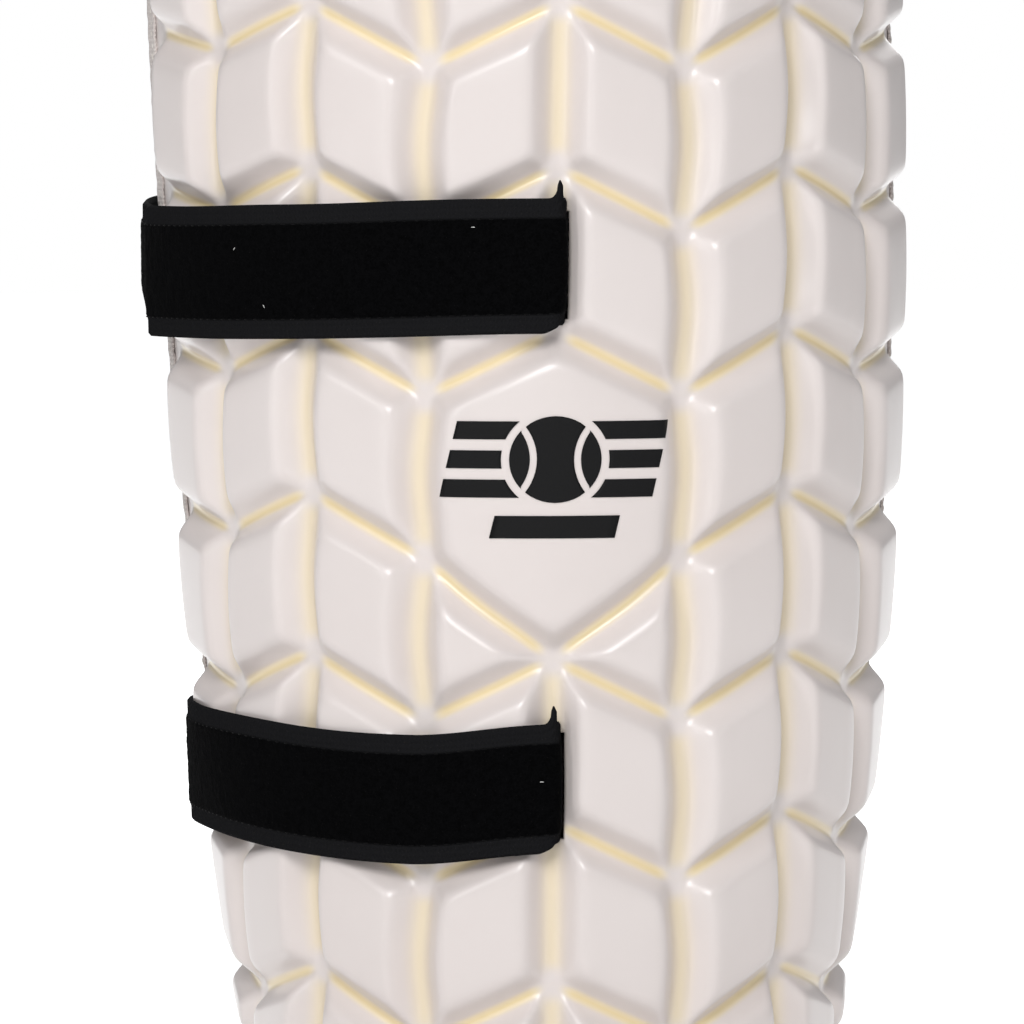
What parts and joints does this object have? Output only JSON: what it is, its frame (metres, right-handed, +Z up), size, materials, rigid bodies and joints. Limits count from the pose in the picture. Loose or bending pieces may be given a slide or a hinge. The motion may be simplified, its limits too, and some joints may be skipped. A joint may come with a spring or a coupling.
{
  "type": "cricket leg pad",
  "caption": "Moulded cricket leg guard for the thigh: curved shell of raised zigzag blocks over foam and liner, with wrap-round elastic straps.",
  "frame": {"origin": "on the lower edge face at the middle of the front, where the pad rests", "axes": "+Z up along the leg, -Y to the front of the pad, +X to the side without front straps"},
  "size_m": [0.2358, 0.1985, 0.385],
  "materials": {
    "moulded_skin": "satin off-white coated foam moulding",
    "foam": "closed-cell foam",
    "liner_mesh": "black spacer mesh",
    "binding_tape": "folded off-white tape",
    "print_ink": "black flat print",
    "loop_elastic": "black loop-pile elastic",
    "plain_elastic": "black ribbed elastic",
    "webbing": "black woven webbing",
    "thread": "black thread",
    "hook_tape": "black nylon hook tape",
    "grip_rubber": "black moulded grip"
  },
  "bodies": {
    "pad": {"moulded_shell": "moulded_skin", "foam_layer": "foam", "comfort_liner": "liner_mesh", "edge_binding": "binding_tape", "emblem_print": "print_ink", "upper_front_strap": "loop_elastic", "upper_slit_lining": "binding_tape", "upper_anchor_patch": "webbing", "upper_anchor_tab": "webbing", "upper_bar_tacks": "thread", "lower_front_strap": "loop_elastic", "lower_slit_lining": "binding_tape", "lower_anchor_patch": "webbing", "lower_anchor_tab": "webbing", "lower_bar_tacks": "thread"},
    "upper_tail": {"upper_tail_strap": "loop_elastic"},
    "upper_rear_strap": {"upper_rear_elastic": "plain_elastic"},
    "upper_fastening": {"upper_fastening_tab": "plain_elastic", "upper_hook_patch": "hook_tape", "upper_pull_tip": "grip_rubber"},
    "lower_tail": {"lower_tail_strap": "loop_elastic"},
    "lower_rear_strap": {"lower_rear_elastic": "plain_elastic"},
    "lower_fastening": {"lower_fastening_tab": "plain_elastic", "lower_hook_patch": "hook_tape", "lower_pull_tip": "grip_rubber"}
  },
  "joints": [
    {"name": "upper_rear_swing", "type": "hinge", "parent": "pad", "child": "upper_rear_strap", "pos_m": [0.09377, 0.11628, 0.2495], "axis": [0, 0, 1], "range_deg": [-100, 0]},
    {"name": "upper_tail_swing", "type": "hinge", "parent": "pad", "child": "upper_tail", "pos_m": [-0.12115, 0.09923, 0.2495], "axis": [0, 0, 1], "range_deg": [0, 40]},
    {"name": "upper_tab_peel", "type": "hinge", "parent": "upper_rear_strap", "child": "upper_fastening", "pos_m": [-0.00468, 0.18829, 0.2495], "axis": [0, 0, 1], "range_deg": [-100, 0]},
    {"name": "lower_rear_swing", "type": "hinge", "parent": "pad", "child": "lower_rear_strap", "pos_m": [0.07964, 0.11946, 0.099], "axis": [0, 0, 1], "range_deg": [-100, 0]},
    {"name": "lower_tail_swing", "type": "hinge", "parent": "pad", "child": "lower_tail", "pos_m": [-0.10961, 0.10764, 0.099], "axis": [0, 0, 1], "range_deg": [0, 40]},
    {"name": "lower_tab_peel", "type": "hinge", "parent": "lower_rear_strap", "child": "lower_fastening", "pos_m": [0.02035, 0.1755, 0.099], "axis": [0, 0, 1], "range_deg": [-100, 0]}
  ],
  "couplings": [
    {"joint": "upper_tail_swing", "follows": "upper_rear_swing", "ratio": -0.4},
    {"joint": "lower_tail_swing", "follows": "lower_rear_swing", "ratio": -0.4}
  ]
}
